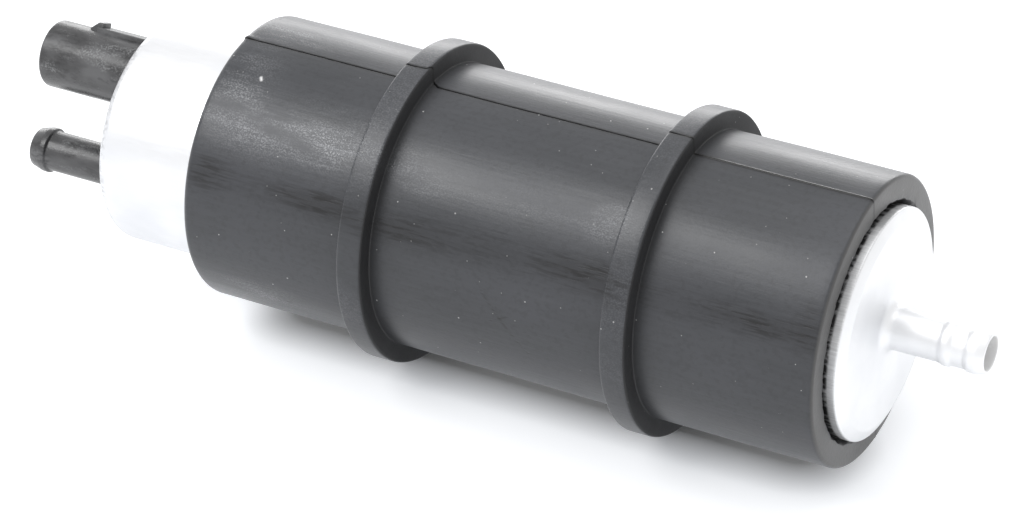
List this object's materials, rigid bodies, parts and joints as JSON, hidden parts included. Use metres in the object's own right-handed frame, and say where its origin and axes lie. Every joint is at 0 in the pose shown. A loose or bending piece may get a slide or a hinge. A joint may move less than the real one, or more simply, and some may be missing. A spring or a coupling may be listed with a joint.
{
  "type": "electric fuel pump",
  "caption": "In-line electric fuel pump: aluminium can in a ribbed rubber sleeve, hose nozzle on the closed end, connector and outlet nozzle on the other, motor and gerotor inside.",
  "frame": {"origin": "on the pump's axis, in the middle of the clamp seat between the sleeve's ribs", "axes": "+X along the pump's axis, out of the inlet nozzle; +Z towards the connector's side; -X out of the outlet nozzle and the connector"},
  "size_m": [0.1988, 0.0612, 0.0612],
  "materials": {
    "rubber": "satin black rubber with a fine lengthwise grain",
    "casing_aluminium": "bright drawn aluminium",
    "cover_plastic": "semi-gloss black moulded plastic",
    "seal_rubber": "smooth",
    "terminal_brass": "tinned brass strip",
    "ferrite": "sintered",
    "copper_wire": "enamelled copper",
    "seat_plastic": "natural moulded plastic",
    "ball_steel": "polished",
    "spring_steel": "drawn wire",
    "carrier_plastic": "moulded plastic",
    "carbon": "pressed carbon",
    "bush_bronze": "sintered bronze",
    "flux_steel": "zinc-plated steel tube",
    "magnet_ferrite": "sintered",
    "clip_steel": "spring steel strip",
    "shaft_steel": "ground",
    "core_steel": "stacked laminations",
    "insulator": "moulded",
    "hub_plastic": "moulded phenolic",
    "plate_copper": "stamped copper",
    "washer_plastic": "natural plastic",
    "stage_aluminium": "machined",
    "stage_steel": "sintered and ground",
    "screw_steel": "zinc-plated",
    "retainer_brass": "turned",
    "strainer_plastic": "moulded"
  },
  "bodies": {
    "root": {"rubber_sleeve": "rubber", "motor_casing": "casing_aluminium", "end_cover": "cover_plastic", "cover_seal": "seal_rubber", "terminal_positive": "terminal_brass", "terminal_negative": "terminal_brass", "choke_cores": "ferrite", "choke_windings": "copper_wire", "check_valve_seat": "seat_plastic", "check_valve_spring": "spring_steel", "brush_carrier": "carrier_plastic", "brush_spring_positive": "spring_steel", "brush_spring_negative": "spring_steel", "brush_lead_positive": "copper_wire", "brush_lead_negative": "copper_wire", "front_bearing": "bush_bronze", "flux_ring": "flux_steel", "magnet_north": "magnet_ferrite", "magnet_south": "magnet_ferrite", "magnet_clips": "clip_steel", "outlet_plate": "stage_aluminium", "rear_bearing": "bush_bronze", "pump_ring": "stage_steel", "inlet_plate": "stage_aluminium", "thrust_pad": "shaft_steel", "stage_screws": "screw_steel", "relief_spring": "spring_steel", "relief_retainer": "retainer_brass", "stage_seal": "seal_rubber", "inlet_strainer": "strainer_plastic"},
    "rotor": {"armature_shaft": "shaft_steel", "armature_core": "core_steel", "end_insulators": "insulator", "armature_windings": "copper_wire", "commutator_hub": "hub_plastic", "commutator_plates": "plate_copper", "commutator_segments": "carbon", "thrust_washers": "washer_plastic", "inner_rotor": "stage_steel"},
    "outer_rotor": {"outer_rotor": "stage_steel"},
    "brush_positive": {"brush_positive": "carbon"},
    "brush_negative": {"brush_negative": "carbon"},
    "check_ball": {"check_valve_ball": "ball_steel"},
    "relief_ball": {"relief_ball": "ball_steel"}
  },
  "joints": [
    {"name": "rotor_spin", "type": "hinge", "parent": "root", "child": "rotor", "pos_m": [0, 0, 0], "axis": [1, 0, 0], "continuous": true},
    {"name": "outer_rotor_spin", "type": "hinge", "parent": "root", "child": "outer_rotor", "pos_m": [0.0464, 0, 0.0009], "axis": [1, 0, 0], "continuous": true},
    {"name": "brush_positive_slide", "type": "slide", "parent": "root", "child": "brush_positive", "axis": [-1, 0, 0], "range_m": [0, 0.003], "stiffness_N_per_m": 300, "springref_m": -0.004, "deforming": ["brush_spring_positive", "brush_lead_positive"]},
    {"name": "brush_negative_slide", "type": "slide", "parent": "root", "child": "brush_negative", "axis": [-1, 0, 0], "range_m": [0, 0.003], "stiffness_N_per_m": 300, "springref_m": -0.004, "deforming": ["brush_spring_negative", "brush_lead_negative"]},
    {"name": "check_valve_lift", "type": "slide", "parent": "root", "child": "check_ball", "axis": [-1, 0, 0], "range_m": [0, 0.003], "stiffness_N_per_m": 100, "springref_m": -0.004, "deforming": ["check_valve_spring"]},
    {"name": "relief_valve_lift", "type": "slide", "parent": "root", "child": "relief_ball", "axis": [1, 0, 0], "range_m": [0, 0.0012], "stiffness_N_per_m": 500, "springref_m": -0.006, "deforming": ["relief_spring"]}
  ],
  "couplings": [
    {"joint": "outer_rotor_spin", "follows": "rotor_spin", "ratio": 0.85714}
  ]
}
